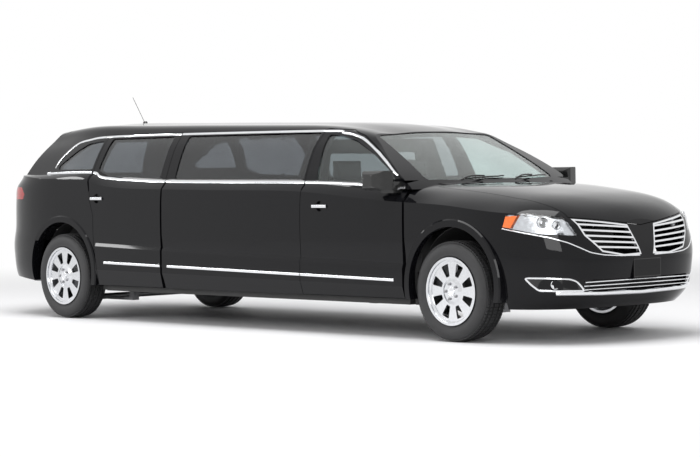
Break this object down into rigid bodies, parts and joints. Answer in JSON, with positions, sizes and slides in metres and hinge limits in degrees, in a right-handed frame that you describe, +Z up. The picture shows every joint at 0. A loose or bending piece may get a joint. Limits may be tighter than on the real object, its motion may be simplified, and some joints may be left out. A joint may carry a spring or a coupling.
{
  "type": "stretch limousine",
  "caption": "Long black limousine on four wheels, with hinged doors, bonnet and tailgate, steered front wheels and a partitioned cabin.",
  "frame": {"origin": "On the ground under the middle of the car's outline", "axes": "+X towards the nose, +Y towards the car's left side, +Z up"},
  "size_m": [7.0511, 2.2058, 1.9442],
  "materials": {
    "black_paint": "gloss black paint",
    "chrome": "bright chrome",
    "lamp_glass": "clear lens",
    "red_lens": "gloss red lens",
    "screen_glass": "clear green tint",
    "clear_glass": "light grey-green tint",
    "dark_glass": "dark privacy tint",
    "underside": "matt black",
    "cast_metal": "rough casting",
    "steel": "dull steel",
    "wheel_metal": "bright silver",
    "tyre_rubber": "matt rubber",
    "seat_leather": "black leather",
    "dark_trim": "matt black",
    "black_plastic": "gloss black"
  },
  "bodies": {
    "body": {"underbody": "underside", "roof_frame": "black_paint", "front_fenders": "black_paint", "middle_panels": "black_paint", "quarter_panels": "black_paint", "front_bumper": "black_paint", "rear_bumper": "black_paint", "grille": "chrome", "headlamps": "lamp_glass", "tail_lamps": "red_lens", "windscreen": "screen_glass", "fixed_side_glass": "dark_glass", "engine_block": "cast_metal", "suspension": "steel", "exhaust": "steel", "dashboard": "dark_trim", "front_seats": "seat_leather", "partition": "dark_trim", "cabin_seats": "seat_leather", "antenna": "black_plastic"},
    "front_door_right": {"door_front_right": "black_paint", "door_front_glass_right": "clear_glass", "mirror_right": "black_plastic"},
    "rear_door_right": {"door_rear_right": "black_paint", "door_rear_glass_right": "dark_glass"},
    "knuckle_right": {"knuckle_right": "cast_metal"},
    "front_wheel_right": {"tyre_front_right": "tyre_rubber", "rim_front_right": "wheel_metal"},
    "rear_wheel_right": {"tyre_rear_right": "tyre_rubber", "rim_rear_right": "wheel_metal"},
    "front_door_left": {"door_front_left": "black_paint", "door_front_glass_left": "clear_glass", "mirror_left": "black_plastic"},
    "rear_door_left": {"door_rear_left": "black_paint", "door_rear_glass_left": "dark_glass"},
    "knuckle_left": {"knuckle_left": "cast_metal"},
    "front_wheel_left": {"tyre_front_left": "tyre_rubber", "rim_front_left": "wheel_metal"},
    "rear_wheel_left": {"tyre_rear_left": "tyre_rubber", "rim_rear_left": "wheel_metal"},
    "bonnet": {"bonnet": "black_paint"},
    "tailgate": {"tailgate": "black_paint", "tailgate_glass": "dark_glass", "tailgate_lamp": "red_lens"},
    "steering_wheel": {"steering_wheel": "dark_trim"}
  },
  "joints": [
    {"name": "front_door_right_hinge", "type": "hinge", "parent": "body", "child": "front_door_right", "pos_m": [1.94079, -0.905, 0.7], "axis": [0, 0, 1], "range_deg": [0, 65]},
    {"name": "rear_door_right_hinge", "type": "hinge", "parent": "body", "child": "rear_door_right", "pos_m": [-0.95022, -0.905, 0.7], "axis": [0, 0, 1], "range_deg": [0, 68]},
    {"name": "steer_right", "type": "hinge", "parent": "body", "child": "knuckle_right", "pos_m": [2.455, -0.735, 0.37], "axis": [0, 0, 1], "range_deg": [-32, 32]},
    {"name": "front_wheel_right_spin", "type": "hinge", "parent": "knuckle_right", "child": "front_wheel_right", "pos_m": [2.455, -0.83, 0.37], "axis": [0, 1, 0], "continuous": true},
    {"name": "rear_wheel_right_spin", "type": "hinge", "parent": "body", "child": "rear_wheel_right", "pos_m": [-2.318, -0.83, 0.37], "axis": [0, 1, 0], "continuous": true},
    {"name": "front_door_left_hinge", "type": "hinge", "parent": "body", "child": "front_door_left", "pos_m": [1.94079, 0.905, 0.7], "axis": [0, 0, -1], "range_deg": [0, 65]},
    {"name": "rear_door_left_hinge", "type": "hinge", "parent": "body", "child": "rear_door_left", "pos_m": [-0.95022, 0.905, 0.7], "axis": [0, 0, -1], "range_deg": [0, 68]},
    {"name": "steer_left", "type": "hinge", "parent": "body", "child": "knuckle_left", "pos_m": [2.455, 0.735, 0.37], "axis": [0, 0, 1], "range_deg": [-32, 32]},
    {"name": "front_wheel_left_spin", "type": "hinge", "parent": "knuckle_left", "child": "front_wheel_left", "pos_m": [2.455, 0.83, 0.37], "axis": [0, 1, 0], "continuous": true},
    {"name": "rear_wheel_left_spin", "type": "hinge", "parent": "body", "child": "rear_wheel_left", "pos_m": [-2.318, 0.83, 0.37], "axis": [0, 1, 0], "continuous": true},
    {"name": "bonnet_hinge", "type": "hinge", "parent": "body", "child": "bonnet", "pos_m": [2.05502, 0, 1.1169], "axis": [0, -1, 0], "range_deg": [0, 55]},
    {"name": "tailgate_hinge", "type": "hinge", "parent": "body", "child": "tailgate", "pos_m": [-2.6801, 0, 1.67195], "axis": [0, 1, 0], "range_deg": [0, 80]},
    {"name": "steering_wheel_turn", "type": "hinge", "parent": "body", "child": "steering_wheel", "pos_m": [1.39539, 0.37, 1.02], "axis": [-0.9063, 0, 0.4226], "range_deg": [-450, 450]}
  ],
  "couplings": [
    {"joint": "steer_right", "follows": "steering_wheel_turn", "ratio": 0.0711},
    {"joint": "steer_left", "follows": "steering_wheel_turn", "ratio": 0.0711}
  ]
}
